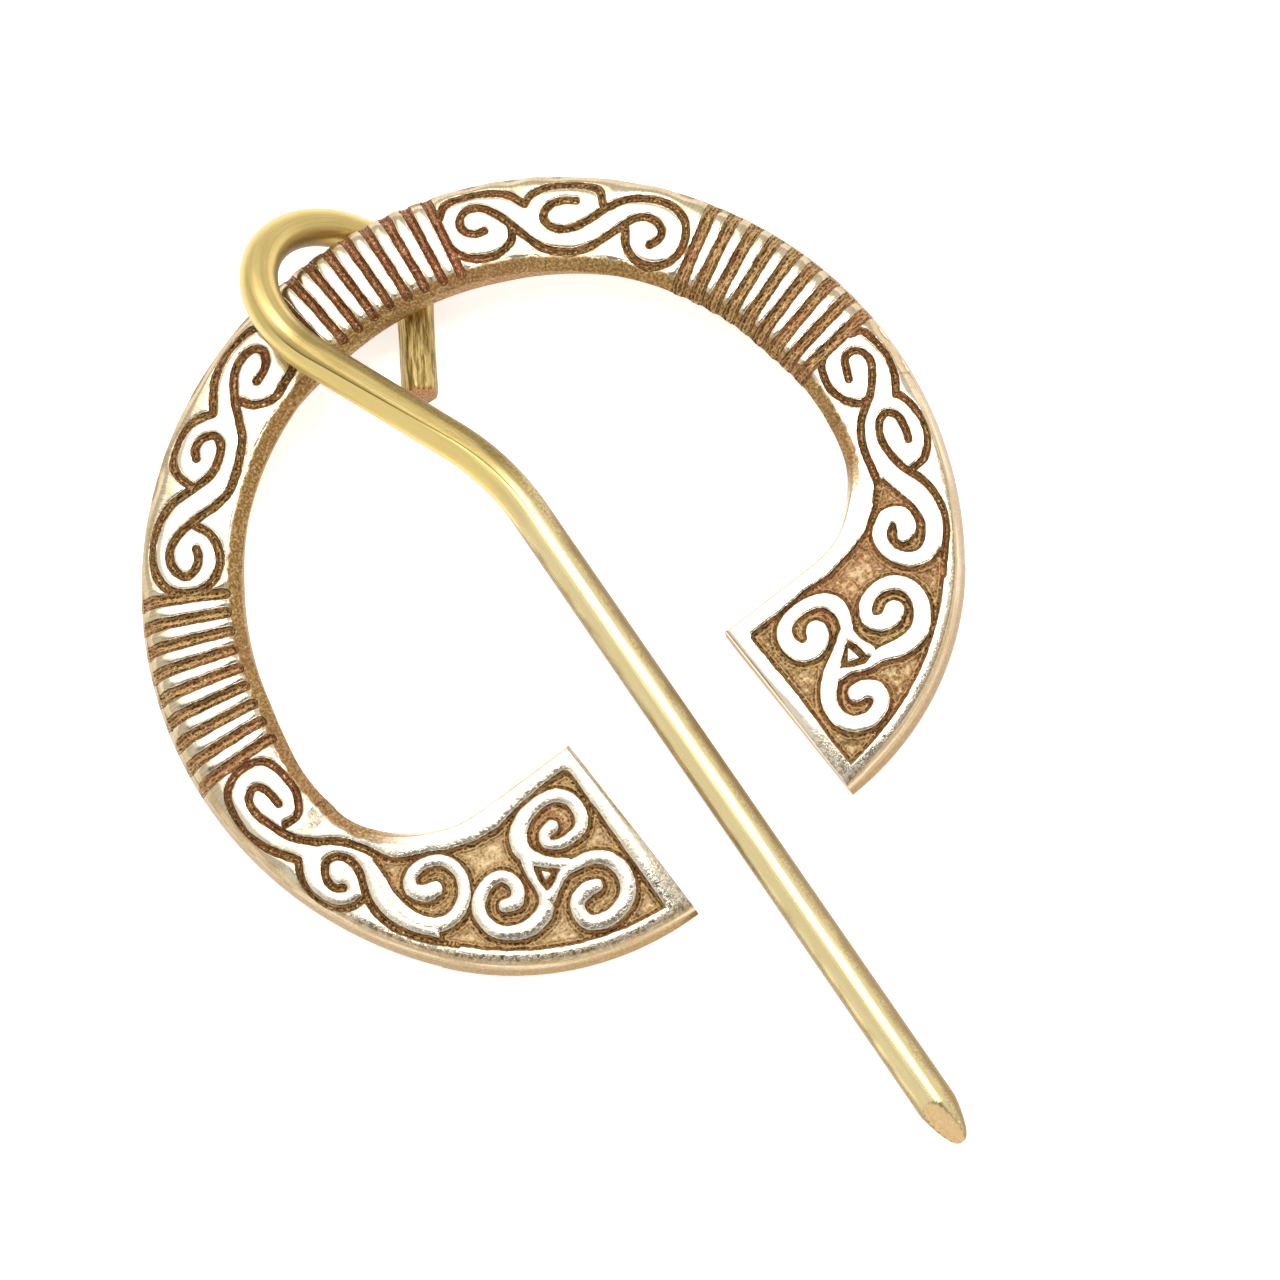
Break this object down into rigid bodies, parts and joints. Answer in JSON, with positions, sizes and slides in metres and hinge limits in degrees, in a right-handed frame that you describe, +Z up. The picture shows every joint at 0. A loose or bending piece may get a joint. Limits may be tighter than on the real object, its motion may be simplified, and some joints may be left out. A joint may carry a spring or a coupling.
{
  "type": "penannular brooch",
  "caption": "Open ring brooch: a flat cast hoop with scroll relief and a gap between two wide terminals, and a straight wire pin bent round the hoop so that it slides and swings.",
  "frame": {"origin": "on the table under the middle of the hoop's hole, where the cloth is gathered", "axes": "+Z up from the table, +Y from the gap between the terminals towards the head of the hoop that carries the eye, +X to the right seen from above"},
  "size_m": [0.055, 0.0783, 0.0099],
  "materials": {
    "cast_bronze": "cast bronze, the raised top polished pale, the grooves and sunk fields left matte and brown",
    "drawn_brass_wire": "drawn brass wire, satin, with fine lengthwise draw lines and filed ends"
  },
  "bodies": {
    "hoop": {"hoop": "cast_bronze"},
    "pin": {"pin": "drawn_brass_wire"}
  },
  "joints": [
    {"name": "pin_swing", "type": "hinge", "parent": "hoop", "child": "pin", "pos_m": [0.00041, 0.02353, 0.00496], "axis": [-0.6017, 0.0749, -0.7952], "range_deg": [-5, 65]}
  ]
}
